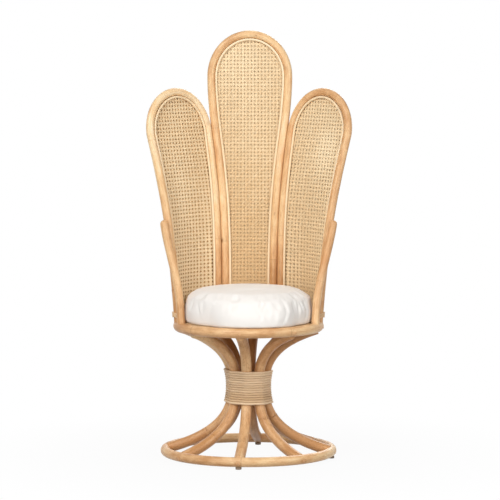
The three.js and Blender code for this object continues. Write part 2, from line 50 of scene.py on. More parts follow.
# Sizes of the construction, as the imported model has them
BASE_RADIUS = 0.280
BASE_POLE = 0.032
LEG_COUNT = 8
LEG_POLE = 0.035
LEG_SPACING = 0.0048
LEG_TURN = radians(6)
LEG_END_SHORT = 0.006
BASE_FLARE = radians(16)
SEAT_FLARE = radians(18.5)
BASE_REACH = 0.165
SEAT_REACH = 0.125
SEAT_LEG_DROP = 0.007
WAIST_HEIGHT = 0.241
WAIST_PULL = 0.105
BINDING_STRAND = 0.0075
BINDING_TURNS = 14
BINDING_PITCH = 0.008
GLIDE_HEIGHT = 0.008
GLIDE_RADIUS = 0.010
GLIDE_COUNT = 4
PEG = 0.010
PEG_DEPTH = 0.030
SEAT_RADIUS = 0.236
SEAT_POLE = 0.033
SEAT_HEIGHT = 0.461
PETAL_POLE = 0.027
PETAL_LEAN = radians(8)
PETAL_CLEAR = 0.0008
ARCH_HALF_WIDTH = 0.1325
ARCH_RISE = 0.143
CENTRE_ARCH_HEIGHT = 1.269
CENTRE_FOOT_HALF_WIDTH = 0.083
CENTRE_FLARE = 1.8
SIDE_ARCH_HEIGHT = 1.080
SIDE_ARCH_RISE = 0.139
SIDE_OUTER_FOOT = radians(93)
SIDE_TOP_TURN = radians(42)
SIDE_TWIST = 1.25
BEAD = 0.008
BEAD_FORWARD = 0.0058
ARM_POLE = 0.027
ARM_HEIGHT = 0.797
ARM_FOOT = radians(109)
ARM_SPLAY = radians(26)
ARM_SPLAY_START = 0.2
ARM_SWEEP = 2.2
FOOT_STRAND = 0.0045
FOOT_TURNS = 3
FOOT_PITCH = 0.005
FOOT_CLEAR = 0.0009
FOOT_TILT = radians(20)

# Sizes of the webbing, which is woven of flat strips of cane in two layers; first those that differ
# between the centre petal and a side petal
CANE_ACROSS = (0.0117, 0.0124)
CANE_UPRIGHT = (0.0034, 0.0035)
CANE_SPREAD = (1.0, 1.4)
CANE_SPREAD_EASE = 0.6
CANE_UP = 0.0125
CANE_LEVEL = 0.0031
CANE_DIAGONAL = 0.0027
CANE_THICK = 0.0004
CANE_WAVE = 0.0003
CANE_DIAGONAL_WAVE = 0.0005
CANE_LAYER = 0.0007
CANE_EDGE = 0.0175
CANE_MARGIN = 0.02
CANE_BACK_WIDTH = 1.2
# Where each layer's pattern starts, across and up
CANE_SHIFTS = {"front": (0.0, 0.004), "back": (0.0045, 0.0095)}
# A strip's corners as shares of half its width and of its thickness, their places for its fibres, and which
# of them are on the side that faces the other layer, where painted shade darkens the holes
STRIP_CORNERS = ((-1, -0.5), (1, -0.5), (0.62, 0.5), (-0.62, 0.5))
STRIP_EDGES = (-1.0, 1.0, 0.6, -0.6)
STRIP_SHADED_SIDE = (1.0, 1.0, 0.0, 0.0)
STRIP_TONES = (0.3, 0.75)
STRIP_FIBRES_APART = 37

# Tone of the webbing in each petal, that of the centre petal partly painted shade; the painted shade and
# light that change it with height; and the strength of the painted shade on its inner side, which darkens
# the holes
CANE_LOOKS = {"centre": (-0.2, 0.7, 0.1), "left": (0.2, -0.7, 1.0), "right": (0.05, 0.0, 0.25)}
# Share of the height up a petal's legs at which the painted shade by height is nil
CANE_SHADE_MIDDLE = 0.7
# Clouds: strength, radians to the metre across and up, and shift between the layers
CANE_CLOUDS = (0.1, 21, 5, 2)
# Painted sheen, paler places in the side petals' webbing: across, height, half width, half height and
# strength
CANE_PAINTED_SHEEN = {"right": (0.045, 1.02, 0.045, 0.07, 0.55), "left": (0.02, 0.87, 0.025, 0.09, 0.3)}

# Worked out
base_low, base_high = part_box("base_ring")
AXIS = np.array([(base_low.x + base_high.x) / 2, (base_low.y + base_high.y) / 2, 0.0])
BASE_Z = GLIDE_HEIGHT + BASE_POLE / 2
SEAT_Z = SEAT_HEIGHT - SEAT_POLE / 2
WAIST_RADIUS = (LEG_POLE + LEG_SPACING) / (2 * sin(pi / LEG_COUNT))
PETAL_PITCH = PETAL_POLE + PETAL_CLEAR
ARM_PITCH = (PETAL_POLE + ARM_POLE) / 2 + PETAL_CLEAR
CENTRE_FOOT = asin(CENTRE_FOOT_HALF_WIDTH / SEAT_RADIUS)
STEP_ANGLE = asin(PETAL_PITCH / 2 / SEAT_RADIUS)
SIDE_INNER_FOOT = CENTRE_FOOT + 2 * STEP_ANGLE
SIDE_HALF_SPAN = (SIDE_OUTER_FOOT - SIDE_INNER_FOOT) / 2
SIDE_HALF_WIDTH = SEAT_RADIUS * sin(SIDE_HALF_SPAN)
BEAD_INSET = PETAL_POLE / 2 + BEAD / 2


# Small mathematics


def blend(start, end, share):
    return start + (end - start) * share


def smooth_step(value, low, high):
    share = np.clip((value - low) / (high - low), 0, 1)
    return share * share * (3 - 2 * share)


def hump(value, width):
    return np.exp(-((value / width) ** 2))


def spot(first, first_size, second, second_size):
    return np.exp(-((first / first_size) ** 2 + (second / second_size) ** 2))


def ring_point(radius, angle, z):
    """A point at an angle that is measured from the rear towards +X."""
    return np.array([radius * sin(angle), radius * cos(angle), z])


def bezier(corners, count):
    t = np.linspace(0, 1, count)[:, None]
    a, b, c, d = (np.asarray(corner, float) for corner in corners)
    return a * (1 - t) ** 3 + 3 * b * t * (1 - t) ** 2 + 3 * c * t**2 * (1 - t) + d * t**3


def draws(name):
    """A source of random numbers that depends on a piece's name alone."""
    return np.random.default_rng(zlib.crc32(name.encode()))


# Meshes

STEEP = 0.9
ROUND_END_REACH = 0.985


def make_object(name, vertices, quads, fans=()):
    """A mesh object of four-sided faces, with a fan of vertex numbers for each flat end."""
    mesh = bpy.data.meshes.new(name)
    mesh.from_pydata(vertices.tolist(), [], [*quads.tolist(), *fans])
    mesh.validate()
    mesh.shade_smooth()
    made = bpy.data.objects.new(name, mesh)
    scene.collection.objects.link(made)
    return made


def set_values(made, name, values, kind="FLOAT", field="value"):
    attribute = made.data.attributes.new(name, kind, "POINT")
    attribute.data.foreach_set(field, np.asarray(values, np.float32).ravel())


def lengths_along(points):
    steps = np.linalg.norm(np.diff(points, axis=0), axis=1)
    return np.concatenate([[0], np.cumsum(steps)])


def at_lengths(points, lengths):
    along = lengths_along(points)
    return np.stack([np.interp(lengths, along, points[:, k]) for k in range(3)], axis=1)


def carried_frames(points, closed):
    """Two directions across a line at each of its points, carried along it without twist."""
    ahead = np.roll(points, -1, axis=0) - np.roll(points, 1, axis=0)
    if not closed:
        ahead[0] = points[1] - points[0]
        ahead[-1] = points[-1] - points[-2]
    tangents = ahead / np.linalg.norm(ahead, axis=1)[:, None]
    side = np.array([0.0, 0, 1]) if abs(tangents[0][2]) < STEEP else np.array([0.0, -1, 0])
    sides = []
    for tangent in tangents:
        side = side - tangent * np.dot(side, tangent)
        side = side / np.linalg.norm(side)
        sides.append(side)
    sides = np.array(sides)
    return sides, np.cross(tangents, sides)


def tube_faces(rows, sides, closed):
    row = np.arange(rows if closed else rows - 1)[:, None] * sides
    column = np.arange(sides)[None, :]
    following = (column + 1) % sides
    above = (row + sides) % (rows * sides)
    corners = [row + column, row + following, above + following, above + column]
    return np.stack(corners, axis=-1).reshape(-1, 4)


def tube(name, points, radii, sides, closed=False):
    """A round bar along points, with the length along it and the angle round it of each vertex."""
    rows = len(points)
    first, second = carried_frames(points, closed)
    angles = np.linspace(0, 2 * pi, sides, endpoint=False)
    spread = first[:, None] * np.cos(angles)[None, :, None] + second[:, None] * np.sin(angles)[None, :, None]
    vertices = points[:, None] + np.reshape(radii, (-1, 1, 1)) * spread
    fans = () if closed else (list(range(sides))[::-1], list(range((rows - 1) * sides, rows * sides)))
    made = make_object(name, vertices.reshape(-1, 3), tube_faces(rows, sides, closed), fans)
    along = np.repeat(lengths_along(points), sides)
    around = np.tile(angles, rows)
    fibre = np.stack([along, np.cos(around), np.sin(around)], axis=1)
    set_values(made, "fibre", fibre, "FLOAT_VECTOR", "vector")
    return made, along, around


def with_round_end(points, radii):
    """Lengthens a bar by half a ball, which stops just short of closing."""
    direction = points[-1] - points[-2]
    direction = direction / np.linalg.norm(direction)
    turns = np.linspace(0, pi / 2, num=8)[1:]
    turns[-1] *= ROUND_END_REACH
    radius = radii[-1]
    extra = points[-1] + direction * (radius * np.sin(turns))[:, None]
    return np.concatenate([points, extra]), np.concatenate([radii, radius * np.cos(turns)])


def lathe(name, outline, place, sides, axis=(0, 0, 1)):
    """Turns an outline of (radius, height) about an axis through a place."""
    turn = np.array(Vector(axis).to_track_quat("Z", "Y").to_matrix())
    angles = np.linspace(0, 2 * pi, sides, endpoint=False)
    rows = [[(r * cos(a), r * sin(a), h) for a in angles] for r, h in outline]
    vertices = np.array(rows).reshape(-1, 3) @ turn.T + place
    count = len(outline)
    fans = (list(range(sides))[::-1], list(range((count - 1) * sides, count * sides)))
    return make_object(name, vertices, tube_faces(count, sides, False), fans)


# Node materials. Noise scales are for each metre, and across a pole or strand for each radius.

# Shares of the noises in a tone, and the tone that has the darkest shade
POLE_SHARES = (0.6, 0.9, 0.2)
POLE_DARKEST = 0.85
STRAND_SHARE = 0.5
STRAND_DARKEST = 0.25
SPECK_LIMITS = {"From_Min": 0.58, "From_Max": 0.7}
GRAIN_STOPS = (0.3, 0.7)
ROUGHNESS_SPREAD = 0.1


def add_node(tree, kind, settings=None, **sockets):
    """A node with its settings, and its sockets as values or as links from other sockets."""
    made = tree.nodes.new(kind)
    for key, value in (settings or {}).items():
        setattr(made, key, value)
    for key, value in sockets.items():
        socket = made.inputs[int(key[1:])] if key[1:].isdigit() else made.inputs[key.replace("_", " ")]
        if isinstance(value, bpy.types.NodeSocket):
            tree.links.new(value, socket)
        else:
            socket.default_value = value
    return made


def new_material(name, **values):
    made = bpy.data.materials.new(name)
    made.use_nodes = True
    shader = made.node_tree.nodes["Principled BSDF"]
    for key, value in values.items():
        shader.inputs[key.replace("_", " ")].default_value = value
    return made, made.node_tree, shader


def link_shader(tree, shader, **sockets):
    for key, socket in sockets.items():
        tree.links.new(socket, shader.inputs[key.replace("_", " ")])


def colour(red, green, blue):
    """A screen colour of 0 to 255 as the linear colour that a shader takes."""
    shares = np.array([red, green, blue]) / 255
    linear = np.where(shares <= 0.04045, shares / 12.92, ((shares + 0.055) / 1.055) ** 2.4)
    return (*linear.tolist(), 1.0)


def ramp(tree, factor, stops):
    made = add_node(tree, "ShaderNodeValToRGB", None, Fac=factor)
    elements = made.color_ramp.elements
    while len(elements) < len(stops):
        elements.new(0.5)
    for element, (position, shade) in zip(elements, stops):
        element.position = position
        element.color = shade
    return made.outputs["Color"]


def attribute(tree, name, output):
    return add_node(tree, "ShaderNodeAttribute", {"attribute_name": name}).outputs[output]


def stretched_noise(tree, vector, scale, detail=4.0, roughness=0.6):
    moved = add_node(tree, "ShaderNodeMapping", None, Vector=vector, Scale=scale).outputs[0]
    sockets = {"Vector": moved, "Scale": 1.0, "Detail": detail, "Roughness": roughness}
    return add_node(tree, "ShaderNodeTexNoise", None, **sockets).outputs["Fac"]


def arithmetic(tree, operation, first, second):
    return add_node(tree, "ShaderNodeMath", {"operation": operation}, _0=first, _1=second).outputs[0]


def mixed(tree, factor, first, second):
    """A mix of two colours, which are a colour mix node's inputs 6 and 7."""
    made = add_node(tree, "ShaderNodeMix", {"data_type": "RGBA"}, _0=factor, _6=first, _7=second)
    return made.outputs[2]


def spread_to(tree, value, low, high, **limits):
    sockets = {"Value": value, "To_Min": low, "To_Max": high, **limits}
    return add_node(tree, "ShaderNodeMapRange", None, **sockets).outputs[0]


def bump(tree, height, strength, distance):
    sockets = {"Height": height, "Strength": strength, "Distance": distance}
    return add_node(tree, "ShaderNodeBump", None, **sockets).outputs[0]


def rattan(name, speckled):
    """Peeled rattan under satin lacquer: fibre streaks, a tone that drifts along the pole and holds the
    painted seat shading, orange patches and dark joints."""
    made, tree, shader = new_material(name, Specular_IOR_Level=0.32)
    fibre = attribute(tree, "fibre", "Vector")
    streaks = stretched_noise(tree, fibre, scale=(8, 4, 4), detail=5)
    clouds = stretched_noise(tree, fibre, scale=(20, 0.9, 0.9), detail=3)
    grain = stretched_noise(tree, fibre, scale=(24, 26, 26), detail=3)
    tone = attribute(tree, "tone", "Fac")
    for noise, share in zip((streaks, clouds, grain), POLE_SHARES):
        tone = arithmetic(tree, "ADD", tone, arithmetic(tree, "MULTIPLY", noise, share))
    shade = ramp(tree, arithmetic(tree, "SUBTRACT", tone, POLE_DARKEST), POLE_SHADES)
    shade = mixed(tree, attribute(tree, "patch", "Fac"), shade, PATCH_ORANGE)
    specks = stretched_noise(tree, fibre, scale=(150, 9, 9), detail=2, roughness=0.5)
    specks = spread_to(tree, specks, low=0, high=speckled, **SPECK_LIMITS)
    shade = mixed(tree, specks, shade, KNOT_BROWN)
    shade = mixed(tree, attribute(tree, "mark", "Fac"), shade, KNOT_BROWN)
    uneven = spread_to(tree, grain, low=0.28, high=0.5)
    relief = bump(tree, grain, strength=0.25, distance=0.0006)
    link_shader(tree, shader, Base_Color=shade, Roughness=uneven, Normal=relief)
    return made


def core_strand(name, dark, pale, roughness, inner=None):
    """Round core or a strip of cane: long fibres and a tone of its own for each strand, which in the webbing
    also holds painted shade and light by height and a painted sheen, and for cane painted shade on the side
    that faces the other layer."""
    made, tree, shader = new_material(name, Specular_IOR_Level=0.35)
    fibre = attribute(tree, "fibre", "Vector")
    streaks = stretched_noise(tree, fibre, scale=(16, 3, 3), detail=4)
    tone = arithmetic(tree, "MULTIPLY", streaks, STRAND_SHARE)
    tone = arithmetic(tree, "ADD", attribute(tree, "tone", "Fac"), tone)
    shade = ramp(tree, arithmetic(tree, "SUBTRACT", tone, STRAND_DARKEST), [(0.0, dark), (1.0, pale)])
    # Painted shade on a cane strip's side that faces the other layer
    if inner:
        shade = mixed(tree, attribute(tree, "inner", "Fac"), shade, inner)
    uneven = spread_to(tree, streaks, roughness - ROUGHNESS_SPREAD, roughness + ROUGHNESS_SPREAD)
    relief = bump(tree, streaks, strength=0.2, distance=0.0003)
    link_shader(tree, shader, Base_Color=shade, Roughness=uneven, Normal=relief)
    return made


def fabric(name, shade, shadow):
    """Plain woven cotton, with threads about a millimetre apart and a little unevenness."""
    made, tree, shader = new_material(name, Roughness=0.92, Specular_IOR_Level=0.15, Sheen_Weight=0.25)
    place = add_node(tree, "ShaderNodeTexCoord").outputs["Object"]
    warp = stretched_noise(tree, place, scale=(1500, 90, 400), detail=2)
    weft = stretched_noise(tree, place, scale=(90, 1500, 400), detail=2)
    threads = arithmetic(tree, "ADD", warp, weft)
    clouds = stretched_noise(tree, place, scale=(9, 9, 9), detail=3)
    shade = mixed(tree, spread_to(tree, clouds, low=0, high=0.5), shade, shadow)
    relief = bump(tree, threads, strength=0.3, distance=0.0005)
    link_shader(tree, shader, Base_Color=shade, Normal=relief)
    return made


def grained(name, dark, pale, scale, roughness, detail=5, gloss=0.3, relief=0.2):
    """Plain wood or moulded plastic: grain in the colour, the roughness and the surface."""
    made, tree, shader = new_material(name, Specular_IOR_Level=gloss)
    place = add_node(tree, "ShaderNodeTexCoord").outputs["Object"]
    grain = stretched_noise(tree, place, scale, detail)
    shade = ramp(tree, grain, list(zip(GRAIN_STOPS, (dark, pale))))
    uneven = spread_to(tree, grain, roughness - ROUGHNESS_SPREAD, roughness + ROUGHNESS_SPREAD)
    link_shader(tree, shader, Base_Color=shade, Roughness=uneven)
    if relief:
        link_shader(tree, shader, Normal=bump(tree, grain, relief, distance=0.0005))
    return made


KNOT_BROWN = colour(142, 92, 52)
PATCH_ORANGE = colour(216, 150, 92)
POLE_SHADES = [
    (0.0, colour(197, 145, 95)),
    (0.25, colour(221, 175, 126)),
    (0.5, colour(238, 201, 151)),
    (1.0, colour(252, 233, 200)),
]
RATTAN = rattan("rattan", speckled=0.3)
LEG_RATTAN = rattan("leg_rattan", speckled=0.55)
# The cane's last colour is painted shade on the strips' sides that face the other layer, seen in the holes
CANE = core_strand("cane", colour(219, 184, 137), colour(252, 229, 190), 0.5, colour(217, 174, 121))
BEADING = core_strand("bead", colour(238, 208, 164), colour(251, 232, 200), 0.55)
BINDING = core_strand("binding", colour(200, 164, 122), colour(248, 222, 188), 0.55)
LASHING = core_strand("lashing", colour(206, 168, 126), colour(236, 204, 162), 0.55)
COTTON = fabric("cotton", colour(244, 240, 235), colour(237, 232, 226))
PEG_WOOD = grained("peg_wood", colour(204, 154, 108), colour(222, 176, 130), (300, 300, 60), 0.5)
PLYWOOD = grained("plywood", colour(186, 148, 104), colour(214, 180, 136), (12, 160, 30), 0.65)
PLASTIC_SHADES = (colour(120, 100, 82), colour(142, 122, 102))
PLASTIC = grained("glide_plastic", *PLASTIC_SHADES, (400, 400, 400), 0.5, detail=2, gloss=0.5, relief=0)


def add_piece(made, material, node, body="frame"):
    """A finished piece takes its material, rides on a body and stands for its CAD node."""
    made.data.materials.append(material)
    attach(made, body)
    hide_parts(node)


# Poles

JOINT_GAP = 0.40
JOINT_FIRST = (0.2, 0.9)
JOINT_APART = (0.75, 1.3)
JOINT_END_CLEAR = 0.03
JOINT_SWELL = 0.00045
JOINT_WIDTH = 0.0045
JOINT_ROWS = np.linspace(-2.5, 2.5, num=15) * JOINT_WIDTH
LINE_WIDTH = 0.0011
LINE_DEPTH = 0.0002
LINE_STRENGTHS = (0.12, 0.5)
POLE_STEP = 0.005
POLE_SIDES = 28
KNOT_STRETCH = 1.4
PLUG_RADIUS = 0.009
PLUG_LINE = 0.0016
PLUG_LINE_STRENGTH = 0.35
PLUG_BLUR = 0.002
PLUG_STRENGTH = 0.45
PATCHES_PER_METRE = 7
PATCH_SIZES = (0.008, 0.02)
PATCH_STRENGTHS = (0.15, 0.6)
PATCH_STRETCH = 2.2
# Waves in a pole's thickness and its tone: strength and radians to the metre
LONG_WAVE = (0.006, 9)
SHORT_WAVE = (0.0036, 21)
LONG_DRIFT = (0.13, 4.5)
SHORT_DRIFT = (0.07, 17)
# How far above and below the seat the painted seat shading reaches
SEAT_SHADING_REACH = 0.5
RING_TONES = {"base_ring": 0.32, "seat_ring": 0.17}
# Tone of each pedestal leg, and the painted seat shading added to it at the seat, counted from the rear
# towards +X: painted shade darkens the rear legs and those on the right under the seat, and painted light
# brightens the front leg and those on the left
SHADED_REAR_LEG = (0.06, -0.5)
LIT_LEFT_LEG = (0.03, 0.38)
LEG_TONES = (SHADED_REAR_LEG, SHADED_REAR_LEG, (0.16, -0.55), (0.12, -0.25), (0.07, 0.2), LIT_LEFT_LEG, LIT_LEFT_LEG, SHADED_REAR_LEG)
# Knots as share of the length, angle from the front, size and strength
LEG_KNOTS = {5: ((0.45, 0.1, 0.003, 0.8), (0.2, 0.4, 0.003, 0.5)), 4: ((0.3, 0.2, 0.004, 0.6),)}
PETAL_KNOTS = {
    "centre": (
        (0.51, 0.3, 0.0025, 0.8), (0.83, 0.2, 0.0025, 0.8),
        (0.1265, -0.8, 0.0055, 1.0), (0.59, 0.4, 0.006, 0.4),
    ),
    "left": ((0.39, 0.3, 0.005, 0.35), (0.88, 0.6, 0.003, 0.6)),
    "right": ((0.52, -0.2, 0.005, 0.4), (0.3, 0.5, 0.003, 0.5)),
}


def joint_places(name, length):
    """Where a pole has its joints: about a hand and a half apart, never evenly."""
    source = draws(name)
    places = []
    place = source.uniform(*JOINT_FIRST) * JOINT_GAP
    while place < length - JOINT_END_CLEAR:
        places.append(place)
        place += JOINT_GAP * source.uniform(*JOINT_APART)
    return np.array(places)


def ripple(wave, along, phase):
    strength, pace = wave
    return strength * np.sin(along * pace + phase)


def pole(name, points, diameter, tone, closed=False, round_end=False, knots=(), plugs=(), painted_seat_shading=0.0):
    """A rattan pole along points: it swells a little at its joints, and a thin dark line marks each.
    Knots are (share of the length, angle, size, strength); plugs are (share of the length, angle).
    The painted seat shading, painted shade where it is below nil and painted light where it is above, is
    added at the height of the seat and fades out away from it."""
    line = np.concatenate([points, points[:1]]) if closed else points
    length = lengths_along(line)[-1]
    places = joint_places(name, length)
    even = np.linspace(0, length, int(length / POLE_STEP) + 1)
    close = (places[:, None] + JOINT_ROWS[None, :]).ravel()
    stops = np.unique(np.round(np.concatenate([even, close[(close > 0) & (close < length)]]), 5))
    if closed:
        stops = stops[:-1]
    path = at_lengths(line, stops)
    away = (stops[:, None] - places[None, :]) if len(places) else np.full((len(stops), 1), 1.0)
    swell = hump(away, JOINT_WIDTH).sum(axis=1)
    grooves = hump(away, LINE_WIDTH)
    source = draws(name + " wander")
    lines = (grooves * source.uniform(*LINE_STRENGTHS, away.shape[1])).sum(axis=1)
    phases = source.uniform(0, 2 * pi, 3)
    waves = ripple(LONG_WAVE, stops, phases[0]) + ripple(SHORT_WAVE, stops, phases[1])
    radii = diameter / 2 * (1 + waves) + JOINT_SWELL * swell - LINE_DEPTH * grooves.sum(axis=1)
    if round_end:
        path, radii = with_round_end(path, radii)
        lines = np.concatenate([lines, np.zeros(len(path) - len(lines))])
    made, along, around = tube(name, path, radii, POLE_SIDES, closed)
    marks = np.repeat(lines, POLE_SIDES)
    patches = np.zeros(len(along))

    def surface_way(share, angle):
        turn = (around - angle + pi) % (2 * pi) - pi
        return along - share * length, turn * diameter / 2

    for share, angle, size, strength in knots:
        lengthwise, sideways = surface_way(share, angle)
        marks = np.maximum(marks, strength * spot(lengthwise, KNOT_STRETCH * size, sideways, size))
    for share, angle in plugs:
        lengthwise, sideways = surface_way(share, angle)
        inwards = PLUG_RADIUS - np.hypot(lengthwise, sideways)
        marks = np.maximum(marks, PLUG_LINE_STRENGTH * hump(inwards, PLUG_LINE))
        patches = np.maximum(patches, PLUG_STRENGTH * smooth_step(inwards, -PLUG_BLUR, PLUG_BLUR / 2))
    for _ in range(int(length * PATCHES_PER_METRE)):
        lengthwise, sideways = surface_way(source.uniform(0, 1), source.uniform(0, 2 * pi))
        size = source.uniform(*PATCH_SIZES)
        strength = source.uniform(*PATCH_STRENGTHS)
        patches = np.maximum(patches, strength * spot(lengthwise, PATCH_STRETCH * size, sideways, size))
    drift = ripple(LONG_DRIFT, along, phases[2]) + ripple(SHORT_DRIFT, along, phases[0])
    set_values(made, "mark", np.clip(marks, 0, 1))
    set_values(made, "patch", patches)
    # Painted seat shading: painted shade or painted light, strongest at the seat's height
    from_seat = smooth_step(np.abs(np.repeat(path[:, 2], POLE_SIDES) - SEAT_HEIGHT), 0, SEAT_SHADING_REACH)
    set_values(made, "tone", tone + drift + painted_seat_shading * (1 - from_seat))
    return made


def leg_profile():
    """Radius and height along a pedestal leg, from the base ring over the waist to the seat ring."""
    halves = []
    ends = (
        ((BASE_RADIUS, BASE_Z), -BASE_FLARE, BASE_REACH, -WAIST_PULL),
        ((SEAT_RADIUS, SEAT_Z - SEAT_LEG_DROP), SEAT_FLARE, SEAT_REACH, WAIST_PULL),
    )
    for target, flare, reach, pull in ends:
        aim = np.array([cos(flare), sin(flare)])
        end = np.array(target) - LEG_END_SHORT * aim
        waist = (WAIST_RADIUS, WAIST_HEIGHT)
        upright = (WAIST_RADIUS, WAIST_HEIGHT + pull)
        halves.append(bezier((waist, upright, end - reach * aim, end), count=80))
    return np.concatenate([halves[0][::-1], halves[1][1:]])


LEG_PROFILE = leg_profile()


def leg_angle(index):
    return LEG_TURN + 2 * pi * index / LEG_COUNT


def make_legs():
    for index in range(LEG_COUNT):
        angle = leg_angle(index)
        points = np.stack([ring_point(r, angle, z) for r, z in LEG_PROFILE]) + AXIS
        name = f"leg_{index + 1}"
        tone, painted_seat_shading = LEG_TONES[index]
        knots = LEG_KNOTS.get(index + 1, ())
        made = pole(f"{name}_pole", points, LEG_POLE, tone, knots=knots, painted_seat_shading=painted_seat_shading)
        add_piece(made, LEG_RATTAN, name)


def make_rings():
    plug_angle = -pi / 2 - BASE_FLARE
    plugs = [(leg_angle(index) / (2 * pi), plug_angle) for index in range(LEG_COUNT)]
    rings = {
        "base_ring": (BASE_RADIUS, BASE_POLE, BASE_Z, plugs),
        "seat_ring": (SEAT_RADIUS, SEAT_POLE, SEAT_Z, ()),
    }
    angles = np.linspace(0, 2 * pi, num=360, endpoint=False)
    for name, (radius, diameter, z, plugged) in rings.items():
        points = np.stack([ring_point(radius, angle, z) for angle in angles]) + AXIS
        made = pole(f"{name}_pole", points, diameter, RING_TONES[name], closed=True, plugs=plugged)
        add_piece(made, RATTAN, name)


# Petals

# Tone of each petal's frame, the left one paler and the right one darker as painted light and painted shade
# from the left, and painted shade on all three near the seat
PETAL_TONES = {"centre": 0.43, "left": 0.57, "right": 0.32}
PETAL_SEAT_SHADE = -0.38
ARM_TONES = {"left": 0.21, "right": 0.25}
CORE_SIDES = 12
BEAD_SUNK = 0.004
BEAD_STEP = 0.006
BEAD_TONE = 0.5
BEAD_DRIFT = (0.15, 7)
SIDES = (("front", 1), ("back", -1))


def leg_share(z, arch_height):
    return np.clip((z - SEAT_Z) / (arch_height - SEAT_Z), 0, 1)


def centre_half_width(z):
    share = leg_share(z, CENTRE_ARCH_HEIGHT) ** CENTRE_FLARE
    return blend(CENTRE_FOOT_HALF_WIDTH, ARCH_HALF_WIDTH, (1 - np.cos(pi * share)) / 2)


def centre_depth(z):
    return SEAT_RADIUS * cos(CENTRE_FOOT) + (z - SEAT_Z) * tan(PETAL_LEAN)


def side_turn(z):
    share = leg_share(z, SIDE_ARCH_HEIGHT) ** SIDE_TWIST
    return blend(SIDE_INNER_FOOT + SIDE_HALF_SPAN, SIDE_TOP_TURN, share)


def side_middle(z):
    """The side petal's inner leg stands against the centre petal's leg all the way up."""
    lay = blend(CENTRE_FOOT + STEP_ANGLE, SIDE_TOP_TURN / 2, leg_share(z, SIDE_ARCH_HEIGHT))
    x = centre_half_width(z) + PETAL_PITCH * np.cos(lay) + SIDE_HALF_WIDTH * np.cos(side_turn(z))
    y = centre_depth(z) - PETAL_PITCH * np.sin(lay) - SIDE_HALF_WIDTH * np.sin(side_turn(z))
    return x, y


class Petal:
    """One petal's shape: its width, turn and middle line by height, and its arch."""

    def __init__(self, name, mirror):
        self.name = name
        self.mirror = mirror
        self.is_side = name != "centre"
        self.arch_height = SIDE_ARCH_HEIGHT if self.is_side else CENTRE_ARCH_HEIGHT
        self.arch_rise = SIDE_ARCH_RISE if self.is_side else ARCH_RISE
        self.half_span = SIDE_HALF_SPAN if self.is_side else CENTRE_FOOT
        self.cane_across = CANE_ACROSS[self.is_side]
        self.cane_upright = CANE_UPRIGHT[self.is_side]
        self.cane_spread = CANE_SPREAD[self.is_side]

    def half_width(self, z):
        return SIDE_HALF_WIDTH + 0 * z if self.is_side else centre_half_width(z)

    def turn(self, z):
        return side_turn(z) if self.is_side else 0 * z

    def middle(self, z):
        return side_middle(z) if self.is_side else (0 * z, centre_depth(z))

    def point(self, across, z, forward):
        """Across the petal, at a height, and forward of its middle surface, which follows the seat ring
        at the seat and becomes flat towards the arch."""
        turn = self.turn(z)
        x, y = self.middle(z)
        width = self.half_width(z)
        share = across / width
        sag = SEAT_RADIUS * (1 - cos(self.half_span)) * (1 - leg_share(z, self.arch_height))
        slope = 2 * sag * share / width
        lift = forward * np.hypot(1, slope) - sag * (1 - share * share)
        x = x + across * np.cos(turn) - lift * np.sin(turn)
        y = y - across * np.sin(turn) - lift * np.cos(turn)
        return np.stack([self.mirror * x, y, z + 0 * x], axis=-1) + AXIS

    def outline(self, inset):
        """Across and height up one leg, over the arch and down the other."""
        climb = np.linspace(SEAT_Z, self.arch_height, num=90)
        leg = self.half_width(climb) - inset
        angles = np.linspace(0, pi, num=121)[1:-1]
        reach = self.half_width(np.array(self.arch_height)) - inset
        arch = -reach * np.cos(angles)
        rise = self.arch_height + (self.arch_rise - inset) * np.sin(angles)
        across = np.concatenate([-leg, arch, leg[::-1]])
        return across, np.concatenate([climb, rise, climb[::-1]])

    def holds(self, across, z, inset):
        """Whether places lie inside the outline."""
        reach = self.half_width(np.minimum(z, self.arch_height)) - inset
        rise = np.maximum(z - self.arch_height, 0) / (self.arch_rise - inset)
        return (z > SEAT_HEIGHT) & ((across / reach) ** 2 + rise**2 < 1)

    def spread(self, z):
        """How much wider than at the arch the webbing is pulled, which grows towards the seat."""
        return blend(1.0, self.cane_spread, (1 - leg_share(z, self.arch_height)) ** CANE_SPREAD_EASE)

    def leg_point(self, z):
        return self.point(self.half_width(z), z, 0 * z)


PETALS = [Petal("centre", 1), Petal("left", -1), Petal("right", 1)]


def make_petal_frames():
    for petal in PETALS:
        name = f"{petal.name}_petal"
        across, z = petal.outline(0)
        points = petal.point(across, z, 0 * z)
        tone = PETAL_TONES[petal.name]
        knots = PETAL_KNOTS[petal.name]
        made = pole(f"{name}_pole", points, PETAL_POLE, tone, knots=knots, painted_seat_shading=PETAL_SEAT_SHADE)
        add_piece(made, RATTAN, f"{name}_frame")
        for side, sign in SIDES:
            across, z = petal.outline(BEAD_INSET)
            points = petal.point(across, z, sign * BEAD_FORWARD + 0 * z)
            points = points[points[:, 2] > SEAT_HEIGHT - BEAD_SUNK]
            points = at_lengths(points, np.arange(0, lengths_along(points)[-1], BEAD_STEP))
            made, along, _ = tube(f"{name}_{side}_bead_core", points, BEAD / 2, CORE_SIDES)
            set_values(made, "tone", BEAD_TONE + ripple(BEAD_DRIFT, along, 0))
            add_piece(made, BEADING, f"{name}_{side}_bead")


# Arms


